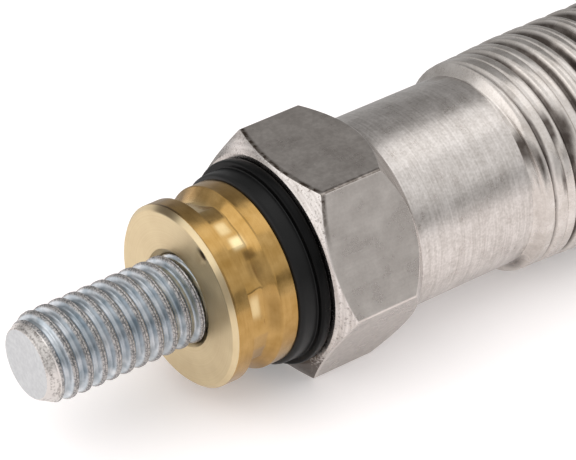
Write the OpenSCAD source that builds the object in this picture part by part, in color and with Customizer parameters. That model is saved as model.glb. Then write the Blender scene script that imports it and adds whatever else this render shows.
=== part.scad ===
// Glow plug for a diesel engine, lying with one flat of its hexagon down.
// Millimetres. The plug's axis is X: the heater tip points to +X, the terminal to -X, and +Z is up.
// The origin is on the axis, at the gauge circle halfway along the conical seat.
// Threads are drawn as plain cylinders of their major diameter.

/* [Terminal] */
// Major diameter of the terminal thread, M4
stud_d = 4; // [3.5:0.1:5]
// Length of the terminal thread that stands out of the nut
stud_l = 7.55; // [5:0.05:14]
// Diameter of the electrode where the nut grips it, the pitch diameter of the thread
grip_d = 3.54; // [3:0.02:3.9]
// Chamfer on the end of the terminal
stud_chamfer = 0.7; // [0.1:0.05:0.8]

/* [Round nut] */
// Diameter of the nut
nut_d = 8.2; // [7:0.1:9]
// Thickness of the nut
nut_l = 3.25; // [2.6:0.05:5]
// Chamfer round the nut's front rim
nut_edge = 0.2; // [0.05:0.05:0.4]
// Countersink at each end of the nut's bore, beyond the terminal thread's radius
nut_sink = 0.2; // [0.1:0.05:0.6]
// Depth of the waist that is turned into the nut
waist_depth = 0.4; // [0.2:0.05:0.7]
// Distance from the nut's front face to the waist
waist_from_face = 0.95; // [0.5:0.05:1.2]
// Lean of the waist's front wall along the axis
waist_lean = 0.1; // [0.02:0.02:0.3]
// Angle of the waist's rear flank to the axis
waist_angle = 45; // [30:1:60]
// Length of the plain band behind the waist
band_l = 0.82; // [0.4:0.02:1]
// Number of jaws that crimp the waist
crimp_count = 4; // [3:1:5]
// Angle between the two flats that one jaw leaves
crimp_fold = 28; // [20:1:36]
// Depth of a flat below the waist
crimp_depth = 0.18; // [0.1:0.02:0.3]
// Turn of the first jaw, up from the -Y side
crimp_turn = 28; // [-45:1:45]

/* [Insulating bush] */
// Diameter of the flange that lies on the housing
flange_d = 9.2; // [8:0.1:9.6]
// Thickness of the flange
flange_l = 0.55; // [0.5:0.05:2]
// Diameter of the step in front of the flange
step_d = 8.6; // [7:0.1:9]
// Thickness of the step
step_l = 0.85; // [0.3:0.05:1.5]
// Rounding of the flange's and the step's outer corners
flange_round = 0.25; // [0.05:0.05:0.4]
// Length of the sleeve inside the housing
sleeve_l = 3.2; // [2:0.1:6]

/* [Housing] */
// Hexagon across flats
hex_af = 9.8; // [9.6:0.1:13]
// Length of the hexagon
hex_l = 4.6; // [3.5:0.1:9]
// Width of the bare ring between the bush's flange and the front chamfer
hex_ring = 0.15; // [0.05:0.05:0.2]
// Angle of the front chamfer to the front face
hex_front_angle = 30; // [20:1:45]
// Angle of the rear chamfer to the rear face
hex_rear_angle = 50; // [30:1:60]
// How far inside the flats the rear chamfer ends
hex_rear_in = 0.1; // [0.05:0.05:0.3]
// Diameter of the plain shank
shank_d = 8.8; // [8:0.1:9.4]
// Length of the shank
shank_l = 6.4; // [3:0.1:20]
// Fillet between the shank and the hexagon
shank_fillet = 0.3; // [0.1:0.05:0.4]
// Major diameter of the body thread, M10
thread_d = 10; // [9.6:0.1:12]
// Length of the body thread
thread_l = 20; // [12:0.5:30]
// Length in which the body thread runs out towards the shank
thread_runout = 0.8; // [0.5:0.1:2.5]
// Length of the chamfer at the tip end of the body thread
thread_lead = 0.7; // [0.3:0.1:1.5]
// Diameter of the pilot behind the seat
pilot_d = 8.2; // [7.6:0.1:9]
// Length of the pilot
pilot_l = 5; // [1:0.1:15]
// Included angle of the conical seat
seat_angle = 60; // [50:1:90]
// Wall of the nose round the heater tube
nose_wall = 0.4; // [0.2:0.05:0.6]
// Diameter of the counterbore under the hexagon
counterbore_d = 6.6; // [5.8:0.1:7.4]
// Diameter of the long bore
bore_d = 5.4; // [4.6:0.1:5.8]

/* [Heater tube] */
// Diameter of the tube
sheath_d = 5; // [4.6:0.1:5.4]
// Wall of the tube
sheath_wall = 0.5; // [0.3:0.05:0.6]
// Length of the tube in front of the nose
sheath_out_l = 23; // [18:0.5:35]
// Length of the tube inside the housing
sheath_in_l = 9; // [5:0.5:14]
// Length of the rubber ring in the tube's open end
seal_l = 2.4; // [1:0.1:4]
// How far the rubber ring sits inside the tube's open end
seal_in = 0.3; // [0.1:0.1:1]

/* [Electrode and coils] */
// Diameter of the electrode inside the housing
rod_d = 3.5; // [3:0.05:3.6]
// Mean diameter of the coils
coil_d = 2.6; // [2.2:0.05:2.9]
// Diameter of the coil wire
wire_d = 0.36; // [0.2:0.02:0.5]
// Pitch of the heating coil
heating_pitch = 0.7; // [0.6:0.05:1]
// Number of full turns of the heating coil
heating_turns = 10; // [6:1:12]
// Pitch of the control coil
control_pitch = 0.85; // [0.6:0.05:1]
// Turns of the control coil between the heating coil and the electrode
control_turns = 9; // [5:1:10]
// Turns of the control coil that are wound onto the electrode
wound_turns = 2; // [1:1:3]
// Turns in which the heating coil narrows towards the tip
tip_turns = 1.5; // [1:0.5:2]
// Radius of the heating coil where it meets the tip
tip_coil_r = 0.3; // [0.2:0.05:0.6]

/* [Fits] */
// Gap between pieces that are pressed, packed or wound together
press_gap = 0.02; // [0.01:0.01:0.05]
// Gap between pieces that slide together by hand
slide_gap = 0.05; // [0.02:0.01:0.1]

/* [Hidden] */
$fn = 96;
// Sides of the coil wire and steps in one turn of it
wire_sides = 6;
turn_steps = 12;
// What a cut reaches past the face it opens
past = 1;

// Places along the axis, from the seat back to the terminal
nose_d = sheath_d + 2 * nose_wall;
seat_half_l = (pilot_d - nose_d) / 4 / tan(seat_angle / 2);
nose_x = seat_half_l;
pilot_x = -seat_half_l;
thread_x = pilot_x - pilot_l;
shank_x = thread_x - thread_l;
hex_rear_x = shank_x - shank_l;
hex_x = hex_rear_x - hex_l;
step_x = hex_x - flange_l;
nut_rear_x = step_x - step_l;
band_x = nut_rear_x - band_l;
nut_x = nut_rear_x - nut_l;
waist_x = nut_x + waist_from_face;
stud_x = nut_x - stud_l;

// The counterbore with the bush's sleeve and the O-ring
sleeve_end_x = hex_x + sleeve_l;
ring_d = (counterbore_d - rod_d) / 2 - 2 * press_gap;
ring_mean_d = (counterbore_d + rod_d) / 2;
counterbore_x = sleeve_end_x + ring_d + 2 * press_gap;

// The heater tube, from its open end to its tip
sheath_r = sheath_d / 2;
sheath_in_r = sheath_r - sheath_wall;
sheath_x = nose_x - sheath_in_l;
dome_x = nose_x + sheath_out_l - sheath_r;
seal_x = sheath_x + seal_in;
powder_x = seal_x + seal_l + press_gap;
powder_r = sheath_in_r - press_gap;

// The coils, from the tip back to the electrode
wire_r = wire_d / 2;
coil_r = coil_d / 2;
coil_tip_x = dome_x + sqrt(sheath_in_r ^ 2 - (tip_coil_r + wire_r) ^ 2) - wire_r - slide_gap;
coil_full_x = dome_x;
heating_end_x = coil_full_x - heating_turns * heating_pitch;
control_end_x = heating_end_x - (control_turns + wound_turns) * control_pitch;
rod_tip_x = control_end_x + wound_turns * control_pitch;
coil_in_r = coil_r * cos(180 / turn_steps) - wire_r;
rod_tip_d = 2 * (coil_in_r - press_gap);
channel_r = coil_r + wire_r + slide_gap;
core_r = coil_in_r - slide_gap;
control_turn_0 = heating_turns;

// Turns a profile of [radius, x] points about the plug's axis.
module turned(profile) {
  rotate([0, 90, 0]) rotate_extrude() polygon(profile);
}

// A plain round of diameter d from x0 to x1.
module rod(d, x0, x1) {
  translate([x0, 0, 0]) rotate([0, 90, 0]) cylinder(d = d, h = x1 - x0);
}

// A ring with a round section, of mean diameter d at x.
module round_ring(d, section_d, x) {
  translate([x, 0, 0]) rotate([0, 90, 0])
    rotate_extrude() translate([d / 2, 0]) circle(d = section_d);
}

// A disc from x0 to x1 whose outer corners are rounded by r at both ends.
module rounded_disc(d, x0, x1, r) {
  rotate([0, 90, 0]) rotate_extrude() {
    translate([0, x0]) square([d / 2 - r, x1 - x0]);
    translate([0, x0 + r]) square([d / 2, x1 - x0 - 2 * r]);
    for (x = [x0 + r, x1 - r]) translate([d / 2 - r, x]) circle(r = r, $fn = 48);
  }
}

// The hexagon with its turned front and rear chamfers, one flat down.
module hexagon() {
  corner_r = hex_af / sqrt(3);
  front_r = flange_d / 2 + hex_ring;
  rear_r = hex_af / 2 - hex_rear_in;
  front_l = (corner_r - front_r) * tan(hex_front_angle);
  rear_l = (corner_r - rear_r) * tan(hex_rear_angle);
  intersection() {
    translate([hex_x, 0, 0]) rotate([0, 90, 0]) rotate(30)
      cylinder(r = corner_r, h = hex_l, $fn = 6);
    turned([
      [0, hex_x], [front_r, hex_x], [corner_r, hex_x + front_l],
      [corner_r, hex_rear_x - rear_l], [rear_r, hex_rear_x], [0, hex_rear_x]
    ]);
  }
}

// Shank, body thread, pilot and conical seat, turned in one piece.
module turned_body() {
  shank_r = shank_d / 2;
  thread_r = thread_d / 2;
  turned([
    [0, hex_rear_x - past], [shank_r, hex_rear_x - past], [shank_r, shank_x],
    [thread_r, shank_x + thread_runout], [thread_r, thread_x - thread_lead],
    [pilot_d / 2, thread_x], [pilot_d / 2, pilot_x], [nose_d / 2, nose_x], [0, nose_x]
  ]);
  rotate([0, 90, 0]) rotate_extrude() difference() {
    translate([shank_r - past / 2, hex_rear_x - past / 2])
      square([shank_fillet + past / 2, shank_fillet + past / 2]);
    translate([shank_r + shank_fillet, hex_rear_x + shank_fillet]) circle(r = shank_fillet, $fn = 48);
  }
}

module housing() {
  sheath_bore_d = sheath_d + 2 * press_gap;
  color("#b5aea8") difference() {
    union() {
      hexagon();
      turned_body();
    }
    rod(counterbore_d, hex_x - past, counterbore_x);
    rod(bore_d, counterbore_x - past, sheath_x);
    rod(sheath_bore_d, sheath_x - past, nose_x + past);
  }
}

module centre_electrode() {
  stud_r = stud_d / 2;
  rod_shoulder_x = sheath_x - seal_in;
  color("#aeb4ba") turned([
    [0, stud_x], [stud_r - stud_chamfer, stud_x], [stud_r, stud_x + stud_chamfer],
    [stud_r, nut_x], [grip_d / 2, nut_x], [grip_d / 2, nut_rear_x],
    [rod_d / 2, nut_rear_x], [rod_d / 2, rod_shoulder_x],
    [rod_tip_d / 2, rod_shoulder_x], [rod_tip_d / 2, rod_tip_x], [0, rod_tip_x]
  ]);
}

// The space that one flat of a jaw clears between the waist's front wall and its rear flank.
// turn is where the middle of the flat lies, up from the -Y side.
module crimp_flat(turn) {
  flat_r = nut_d / 2 - waist_depth - crimp_depth;
  front = waist_x + waist_lean;
  rear = band_x - (waist_depth + crimp_depth) / tan(waist_angle);
  top_r = nut_d / 2;
  rotate([90 - turn, 0, 0]) translate([0, top_r, 0]) rotate([90, 0, 0]) linear_extrude(nut_d) polygon([
    [front, flat_r],
    [rear, flat_r],
    [band_x, top_r],
    [front, top_r]
  ]);
}

module round_nut() {
  nut_r = nut_d / 2;
  waist_r = nut_r - waist_depth;
  bore_r = grip_d / 2 + press_gap;
  sink_r = stud_d / 2 + nut_sink;
  sink_l = sink_r - bore_r;
  color("#b8944e") difference() {
    turned([
      [bore_r, nut_x + sink_l], [sink_r, nut_x], [nut_r - nut_edge, nut_x], [nut_r, nut_x + nut_edge],
      [nut_r, waist_x], [waist_r, waist_x + waist_lean],
      [waist_r, band_x - waist_depth / tan(waist_angle)], [nut_r, band_x],
      [nut_r, nut_rear_x], [sink_r, nut_rear_x], [bore_r, nut_rear_x - sink_l]
    ]);
    for (i = [0 : crimp_count - 1], side = [-0.5, 0.5])
      crimp_flat(crimp_turn + i * 360 / crimp_count + side * crimp_fold);
  }
}

module insulating_bush() {
  sleeve_d = counterbore_d - 2 * slide_gap;
  color("#1e1e21") difference() {
    union() {
      rounded_disc(step_d, nut_rear_x, hex_x, flange_round);
      rounded_disc(flange_d, step_x, hex_x, flange_round);
      rod(sleeve_d, hex_x - flange_l, sleeve_end_x);
    }
    rod(rod_d + 2 * slide_gap, nut_rear_x - past, sleeve_end_x + past);
  }
}

module o_ring() {
  color("#2a2421") round_ring(ring_mean_d, ring_d, sleeve_end_x + press_gap + ring_d / 2);
}

// Half the section of a round from x0 that is closed at its front end by a half ball.
module closed_profile(r, x0) {
  translate([0, x0]) square([r, dome_x - x0]);
  translate([0, dome_x]) intersection() {
    circle(r = r);
    square(r);
  }
}

module sheath_tube() {
  color("#8d8680") rotate([0, 90, 0]) rotate_extrude() difference() {
    closed_profile(sheath_r, sheath_x);
    closed_profile(sheath_in_r, sheath_x - past);
  }
}

// Points of the wire's section round one place on a coil, at a given turn, radius and x.
// lean is how far the wire advances along the axis in one turn, swell how much its radius grows.
function wire_section(turn, r, x, lean, swell) =
  let (
    a = 360 * turn,
    outward = [0, cos(a), sin(a)],
    around = [0, -sin(a), cos(a)],
    run = [lean, 0, 0] + 2 * PI * r * around + swell * outward,
    along = run / norm(run),
    side = cross(along, outward) / norm(cross(along, outward)),
    up = cross(side, along)
  )
  [for (i = [0 : wire_sides - 1])
    let (b = 360 * i / wire_sides)
    [x, 0, 0] + r * outward + wire_r * (cos(b) * up + sin(b) * side)];

// A closed wire through a list of sections.
module wire(sections) {
  last = len(sections) - 1;
  points = [for (s = sections) each s];
  sides = [for (k = [0 : last - 1], i = [0 : wire_sides - 1])
    let (
      j = (i + 1) % wire_sides,
      p = k * wire_sides + i,
      q = k * wire_sides + j,
      s = p + wire_sides,
      t = q + wire_sides
    )
    each [[p, q, t], [p, t, s]]];
  first_cap = [[for (i = [wire_sides - 1 : -1 : 0]) i]];
  last_cap = [[for (i = [0 : wire_sides - 1]) last * wire_sides + i]];
  polyhedron(points, concat(first_cap, sides, last_cap), convexity = 10);
}

module heating_coil() {
  narrow_steps = round(tip_turns * turn_steps);
  swell = (coil_r - tip_coil_r) / tip_turns;
  narrow_lean = (coil_full_x - coil_tip_x) / tip_turns;
  narrow = [for (i = [0 : narrow_steps - 1])
    let (k = i / narrow_steps)
    wire_section(
      (k - 1) * tip_turns,
      tip_coil_r + k * (coil_r - tip_coil_r),
      coil_tip_x + k * (coil_full_x - coil_tip_x),
      narrow_lean,
      swell
    )];
  full = [for (i = [0 : heating_turns * turn_steps])
    let (turn = i / turn_steps)
    wire_section(turn, coil_r, coil_full_x - turn * heating_pitch, -heating_pitch, 0)];
  color("#9a8f86") wire(concat(narrow, full));
}

module control_coil() {
  turns = control_turns + wound_turns;
  join = wire_section(control_turn_0, coil_r, heating_end_x, -heating_pitch, 0);
  rest = [for (i = [1 : turns * turn_steps])
    let (turn = i / turn_steps)
    wire_section(control_turn_0 + turn, coil_r, heating_end_x - turn * control_pitch, -control_pitch, 0)];
  color("#86817c") wire(concat([join], rest));
}

module insulating_powder() {
  tip_r = tip_coil_r + wire_r + slide_gap;
  front_x = dome_x + sheath_r;
  full_x = coil_full_x + wire_d;
  rear_x = control_end_x - wire_d;
  color("#e6e2da") {
    rotate([0, 90, 0]) rotate_extrude() difference() {
      closed_profile(powder_r, powder_x);
      translate([0, powder_x - past]) square([rod_tip_d / 2 + press_gap, rod_tip_x - powder_x + past]);
      polygon([
        [0, rear_x], [channel_r, rear_x], [channel_r, full_x],
        [tip_r, coil_tip_x], [tip_r, front_x], [0, front_x]
      ]);
    }
    rod(2 * core_r, rod_tip_x + press_gap, coil_full_x - wire_d);
  }
}

module sheath_seal() {
  seal_out_d = 2 * (sheath_in_r - press_gap);
  color("#3b3836") difference() {
    rod(seal_out_d, seal_x, seal_x + seal_l);
    rod(rod_tip_d + 2 * press_gap, seal_x - past, seal_x + seal_l + past);
  }
}

housing();
centre_electrode();
round_nut();
insulating_bush();
o_ring();
sheath_tube();
heating_coil();
control_coil();
insulating_powder();
sheath_seal();
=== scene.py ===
import math

import bmesh
import bpy
from mathutils import Matrix, Vector


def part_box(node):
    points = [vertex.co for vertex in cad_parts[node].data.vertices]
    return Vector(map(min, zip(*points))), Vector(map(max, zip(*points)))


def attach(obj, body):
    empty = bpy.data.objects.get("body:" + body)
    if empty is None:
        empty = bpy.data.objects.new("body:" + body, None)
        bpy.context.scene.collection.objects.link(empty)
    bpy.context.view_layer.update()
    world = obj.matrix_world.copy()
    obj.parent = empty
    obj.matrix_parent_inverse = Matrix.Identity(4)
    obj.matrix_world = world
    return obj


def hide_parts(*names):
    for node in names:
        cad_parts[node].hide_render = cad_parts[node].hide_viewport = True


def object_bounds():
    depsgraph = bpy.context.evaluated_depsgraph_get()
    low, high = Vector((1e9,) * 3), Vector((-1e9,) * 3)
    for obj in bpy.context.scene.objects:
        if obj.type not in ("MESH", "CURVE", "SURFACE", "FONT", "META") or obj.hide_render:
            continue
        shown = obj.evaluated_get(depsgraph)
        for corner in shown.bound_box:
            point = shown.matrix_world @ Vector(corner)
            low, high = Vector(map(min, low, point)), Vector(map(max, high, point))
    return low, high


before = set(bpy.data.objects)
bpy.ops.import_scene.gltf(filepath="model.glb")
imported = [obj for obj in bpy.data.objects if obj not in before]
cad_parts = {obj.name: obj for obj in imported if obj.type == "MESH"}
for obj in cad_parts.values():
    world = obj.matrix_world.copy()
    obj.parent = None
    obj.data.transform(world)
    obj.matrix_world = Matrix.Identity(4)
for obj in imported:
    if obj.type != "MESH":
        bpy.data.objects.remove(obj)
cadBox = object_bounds()
mm = 0.001  # sizes in this script are in millimetres, Blender's are in metres
print("frame loaded:", ", ".join(sorted(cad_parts)))


def reach(node):  # where a node starts and ends along the plug's axis
    low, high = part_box(node)
    return low.x / mm, high.x / mm


hexX, noseX = reach("housing")
studX, rodTipX = reach("centre_electrode")
nutX, nutRearX = reach("round_nut")
sleeveEndX = reach("insulating_bush")[1]
counterboreX = reach("o_ring")[1]
sheathX, tipX = reach("sheath_tube")


# turned pieces: rows of (x, radius) from front to rear, one pair for each angle round the axis
legShare = 0.48             # a rounding takes just under half of the edge on each side
weldDistance = 2e-7         # metres
creaseAngle = 40


def evenAngles(count):
    return [2 * math.pi * i / count for i in range(count + 1)]


def smoothStep(x, start, end):
    t = min(max((x - start) / (end - start), 0), 1)
    return t * t * (3 - 2 * t)


def softMin(a, b, blend):  # the smaller of two heights, with their meeting edge rounded off
    near = max(blend - abs(a - b), 0) / blend
    return min(a, b) - near * near * blend / 4


def softMax(a, b, blend):
    return -softMin(-a, -b, blend)


def fromTurn(degrees):  # angle round the mesh of a place so many degrees up from the -Y side
    return math.pi - math.radians(degrees)


def angleBetween(a, b):  # the smaller angle between two directions
    return abs((a - b + math.pi) % (2 * math.pi) - math.pi)


def roundCorners(corners, steps=5):
    # corners are (x, radius, rounding); a rounding of 0 keeps the corner sharp
    points = []
    for i, (x, r, rounding) in enumerate(corners):
        here = Vector((x, r))
        if rounding == 0:
            points.append((x, r))
            continue
        back = Vector(corners[i - 1][:2]) - here
        ahead = Vector(corners[i + 1][:2]) - here
        half = back.angle(ahead) / 2
        run = min(rounding / math.tan(half), legShare * back.length, legShare * ahead.length)
        start = here + back.normalized() * run
        end = here + ahead.normalized() * run
        for k in range(steps + 1):
            t = k / steps
            p = start * (1 - t) ** 2 + here * 2 * t * (1 - t) + end * t * t
            points.append((p.x, p.y))
    return points


def roundRows(corners, angles, steps=5):
    return [[p] * len(angles) for p in roundCorners(corners, steps)]


def helixRows(start, end, pitch, firstCrest, angles, pointAt):
    # rows that follow a right-hand thread, so that its crests and roots are edges of the mesh
    turns = math.ceil((end - start) / pitch) + 2
    rows = []
    for turn in range(turns):
        for phase in threadPhases:
            row = []
            for a in angles:
                place = turn - 1 + phase + firstCrest + a / (2 * math.pi)
                x = min(max(start + place * pitch, start), end)
                row.append(pointAt(x, (x - start) / pitch - firstCrest - a / (2 * math.pi)))
            rows.append(row)
    rows.append([pointAt(end, 0.5)] * len(angles))  # ends in a root all round
    return rows


# steps from one crest to the next, closest at the seam on the crest and in the root
halfThread = [0, 0.015, 0.035, 0.07, 0.11, 0.15, 0.19, 0.23, 0.27, 0.31, 0.35, 0.39, 0.43, 0.465, 0.5]
threadPhases = halfThread + [1 - phase for phase in reversed(halfThread[1:-1])]


def threadRadius(phase, pitch, crest, root, t):
    # rolled thread: flat crests with a seam where the metal closed up, 60 degree grooves between them
    fromCrest = abs((phase + 0.5) % 1 - 0.5) * pitch
    fromRoot = pitch / 2 - fromCrest
    soft = min(t["soft"], crest - root) + 1e-4  # never nothing
    flank = softMax(root, root + math.sqrt(3) * (fromRoot - t["rootHalf"]), soft)
    seam = t["seamDepth"] * math.exp(-(fromCrest / t["seamHalf"]) ** 2)
    return softMin(crest, flank, soft) - min(seam, crest - root)


def newObject(name, data):
    obj = bpy.data.objects.new(name, data)
    bpy.context.scene.collection.objects.link(obj)
    return obj


def turnedPiece(name, rows, angles, finishes, closed=True):
    # finishes: list of (material, first row it is used on)
    # a third number in a row's point is its stain and painted light: dirt and painted shade above 0, a
    # painted highlight below 0
    materials = list(dict.fromkeys(material for material, _ in finishes))
    build = bmesh.new()
    # this layer carries real stains together with painted shade and painted highlights
    stainAndPaintedLight = build.verts.layers.float.new("stainAndPaintedLight")
    grid = []
    for row in rows:
        ring = []
        for (x, r, *dirtAndPaintedLight), a in zip(row, angles):
            vert = build.verts.new((x * mm, r * mm * math.cos(a), r * mm * math.sin(a)))
            vert[stainAndPaintedLight] = dirtAndPaintedLight[0] if dirtAndPaintedLight else 0
            ring.append(vert)
        grid.append(ring)
    last = len(grid) if closed else len(grid) - 1
    for j in range(last):
        front, rear = grid[j], grid[(j + 1) % len(grid)]
        finish = [material for material, first in finishes if first <= j][-1]
        for i in range(len(angles) - 1):
            face = build.faces.new((front[i], front[i + 1], rear[i + 1], rear[i]))
            face.material_index = materials.index(finish)
            face.smooth = True
    bmesh.ops.remove_doubles(build, verts=build.verts, dist=weldDistance)
    bmesh.ops.dissolve_degenerate(build, edges=build.edges, dist=weldDistance)
    stray = [edge for edge in build.edges if not edge.link_faces]  # left between two poles on the axis
    bmesh.ops.delete(build, geom=stray, context="EDGES")
    bmesh.ops.recalc_face_normals(build, faces=build.faces)
    mesh = bpy.data.meshes.new(name)
    build.to_mesh(mesh)
    build.free()
    mesh.set_sharp_from_angle(angle=math.radians(creaseAngle))
    piece = newObject(name, mesh)
    for material in materials:
        mesh.materials.append(material)
    even = piece.modifiers.new("evenNormals", "WEIGHTED_NORMAL")
    even.keep_sharp = True
    return piece


def seat(piece, node):
    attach(piece, "root")
    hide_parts(node)
    print("built", piece.name, "with", len(piece.data.polygons), "faces")


# materials

def linear(code):
    channels = [int(code[i:i + 2], 16) / 255 for i in (1, 3, 5)]
    return [c / 12.92 if c <= 0.04045 else ((c + 0.055) / 1.055) ** 2.4 for c in channels] + [1]


def addNode(tree, kind, settings, links=()):
    # lower-case settings belong to the node itself, the rest to its sockets;
    # a link comes from a node's first output, or from the output that is given
    node = tree.nodes.new(kind)
    for key, value in settings.items():
        if isinstance(key, str) and key[0].islower():
            setattr(node, key, value)
        else:
            node.inputs[key].default_value = value
    for socket, source in dict(links).items():
        output = source if isinstance(source, bpy.types.NodeSocket) else source.outputs[0]
        tree.links.new(output, node.inputs[socket])
    return node


def newMaterial(name):
    # a material with its shader, and the place on the piece that textures are looked up by
    material = bpy.data.materials.new(name)
    material.use_nodes = True
    tree = material.node_tree
    place = addNode(tree, "ShaderNodeTexCoord", {}).outputs["Object"]
    return material, tree, tree.nodes["Principled BSDF"], place


def wire(tree, shader, colour, rough, bump, metallic=1):
    shader.inputs["Metallic"].default_value = metallic
    tree.links.new(colour.outputs[2], shader.inputs["Base Color"])
    tree.links.new(rough.outputs["Result"], shader.inputs["Roughness"])
    tree.links.new(bump.outputs["Normal"], shader.inputs["Normal"])


def spread(sizeX, sizeAround):
    # texture steps for each metre: along the axis, and across it
    return (1 / (sizeX * mm), 1 / (sizeAround * mm), 1 / (sizeAround * mm))


def mottle(tree, place, p, detail, roughness=0.5):
    # fine grain, and clouds with so much detail in them
    grain = addNode(tree, "ShaderNodeTexNoise", {"Scale": 1 / (p["grain"] * mm), "Detail": 3},
                    {"Vector": place})
    cloud = addNode(tree, "ShaderNodeTexNoise",
                    {"Scale": 1 / (p["cloud"] * mm), "Detail": detail, "Roughness": roughness},
                    {"Vector": place})
    return grain, cloud


def twoTones(tree, value, start, end, colours):
    # from the first colour to the second while the value goes from start to end
    tone = addNode(tree, "ShaderNodeMapRange", {"From Min": start, "From Max": end}, {"Value": value})
    first, second = colours
    return addNode(tree, "ShaderNodeMix", {"data_type": "RGBA", 6: linear(first), 7: linear(second)},
                   {0: tone})


middling = {"From Min": 0.3, "From Max": 0.7}  # where most of a noise lies

nickel = {
    "turned": ("#b5aea9", "#d6d0cc"),
    "tumbled": ("#aea7a1", "#dcd6d2"),
    "satin": ("#bfb7b1", "#d2cbc5"),
    "rolled": ("#b9b1aa", "#dcd6d1"),
    # the speck colour also paints shade low on the hexagon's chamfer
    "speckAndShade": "#4a3c30",
    # the film colour also paints shade on the top and low flats
    "filmAndShade": "#4a3f36",
    # the oil colour also paints shade deep in the thread's grooves
    "oilAndShade": "#2e2118",
    "latheLine": 0.09,      # feed marks of about 0.04 mm, drawn coarser so that they show
    "latheLength": 2.6,
    "grain": 0.11,          # grit under the plating, about 0.05 mm, drawn coarser so that it shows
    "cloud": 0.9,
    "streak": 0.16,         # drawing marks on the flats
    "streakLength": 1.6,
    "patch": 0.2,           # breaks up the film and painted shade on the flats
}


def nickelTurned():
    # nickel-plated steel, turned: warm grey with fine rings round the axis,
    # and brown specks where dirt has settled, thicker low on the hexagon's chamfer as painted shade
    material, tree, shader, place = newMaterial("nickel_plated_steel_turned")
    specks, cloud = mottle(tree, place, nickel, detail=4)
    rings = addNode(tree, "ShaderNodeMapping",
                    {"Scale": spread(nickel["latheLine"], nickel["latheLength"])}, {"Vector": place})
    lines = addNode(tree, "ShaderNodeTexNoise", {"Scale": 1, "Detail": 3, "Roughness": 0.6},
                    {"Vector": rings})
    plating = twoTones(tree, lines, 0.35, 0.65, nickel["turned"])
    dirtAndPaintedLight = addNode(tree, "ShaderNodeAttribute", {"attribute_name": "stainAndPaintedLight"})
    # specks of dirt, thickened low on the hexagon's chamfer as painted shade
    specksAndShade = addNode(tree, "ShaderNodeMath", {"operation": "MULTIPLY_ADD", 1: 0.8},
                      {0: dirtAndPaintedLight.outputs["Fac"], 2: specks})
    dirtAndShadeMask = addNode(tree, "ShaderNodeMapRange", {"From Min": 0.72, "From Max": 1, "To Max": 0.9},
                    {"Value": specksAndShade})
    colour = addNode(tree, "ShaderNodeMix", {"data_type": "RGBA", 7: linear(nickel["speckAndShade"])},
                     {0: dirtAndShadeMask, 6: plating.outputs[2]})
    rough = addNode(tree, "ShaderNodeMapRange", {**middling, "To Min": 0.2, "To Max": 0.34},
                    {"Value": cloud})
    bump = addNode(tree, "ShaderNodeBump", {"Strength": 0.5, "Distance": 0.006 * mm}, {"Height": lines})
    wire(tree, shader, colour, rough, bump)
    return material


def nickelShank():
    # nickel-plated steel, tumbled before plating: soft mottled grey,
    # with a trace of lathe rings under the grain
    material, tree, shader, place = newMaterial("nickel_plated_steel_tumbled")
    grain, cloud = mottle(tree, place, nickel, detail=6, roughness=0.65)
    rings = addNode(tree, "ShaderNodeMapping",
                    {"Scale": spread(nickel["latheLine"], nickel["latheLength"])}, {"Vector": place})
    lines = addNode(tree, "ShaderNodeTexNoise", {"Scale": 1, "Detail": 2}, {"Vector": rings})
    speckled = addNode(tree, "ShaderNodeMath", {"operation": "MULTIPLY_ADD", 1: 0.8},
                       {0: grain, 2: cloud})
    mottled = addNode(tree, "ShaderNodeMath", {"operation": "MULTIPLY_ADD", 1: 0.7},
                      {0: lines, 2: speckled})
    colour = twoTones(tree, mottled, 0.9, 1.6, nickel["tumbled"])
    rough = addNode(tree, "ShaderNodeMapRange", {**middling, "To Min": 0.26, "To Max": 0.34},
                    {"Value": cloud})
    bump = addNode(tree, "ShaderNodeBump", {"Strength": 0.7, "Distance": 0.007 * mm}, {"Height": mottled})
    wire(tree, shader, colour, rough, bump)
    return material


def nickelSatin():
    # nickel-plated steel, drawn hexagon bar: satin flats with a matt grain, drawn streaks, dark lines on
    # the edges, and a brown film that is also painted shade on the top and low flats
    material, tree, shader, place = newMaterial("nickel_plated_steel_satin")
    grain, cloud = mottle(tree, place, nickel, detail=5)
    drawn = addNode(tree, "ShaderNodeMapping",
                    {"Scale": spread(nickel["streakLength"], nickel["streak"])}, {"Vector": place})
    streaks = addNode(tree, "ShaderNodeTexNoise", {"Scale": 1, "Detail": 3}, {"Vector": drawn})
    speckled = addNode(tree, "ShaderNodeMath", {"operation": "MULTIPLY_ADD", 1: 0.5},
                       {0: grain, 2: cloud})
    mixed = addNode(tree, "ShaderNodeMath", {"operation": "MULTIPLY_ADD", 1: 0.4},
                    {0: streaks, 2: speckled})
    plating = twoTones(tree, mixed, 0.7, 1.2, nickel["satin"])
    dirtAndPaintedLight = addNode(tree, "ShaderNodeAttribute", {"attribute_name": "stainAndPaintedLight"})
    patches = addNode(tree, "ShaderNodeTexNoise", {"Scale": 1 / (nickel["patch"] * mm), "Detail": 3},
                      {"Vector": place})
    broken = addNode(tree, "ShaderNodeMapRange", {"From Min": 0.38, "From Max": 0.58, "To Min": 0.6},
                     {"Value": patches})
    dirtAndShadeMask = addNode(tree, "ShaderNodeMath", {"operation": "MULTIPLY"},
                    {0: dirtAndPaintedLight.outputs["Fac"], 1: broken})
    # mixes in the brown film, which is also painted shade on the top and low flats
    colour = addNode(tree, "ShaderNodeMix", {"data_type": "RGBA", 7: linear(nickel["filmAndShade"])},
                     {0: dirtAndShadeMask, 6: plating.outputs[2]})
    rough = addNode(tree, "ShaderNodeMapRange", {**middling, "To Min": 0.26, "To Max": 0.32},
                    {"Value": cloud})
    bump = addNode(tree, "ShaderNodeBump", {"Strength": 0.5, "Distance": 0.004 * mm}, {"Height": mixed})
    wire(tree, shader, colour, rough, bump)
    return material


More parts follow.
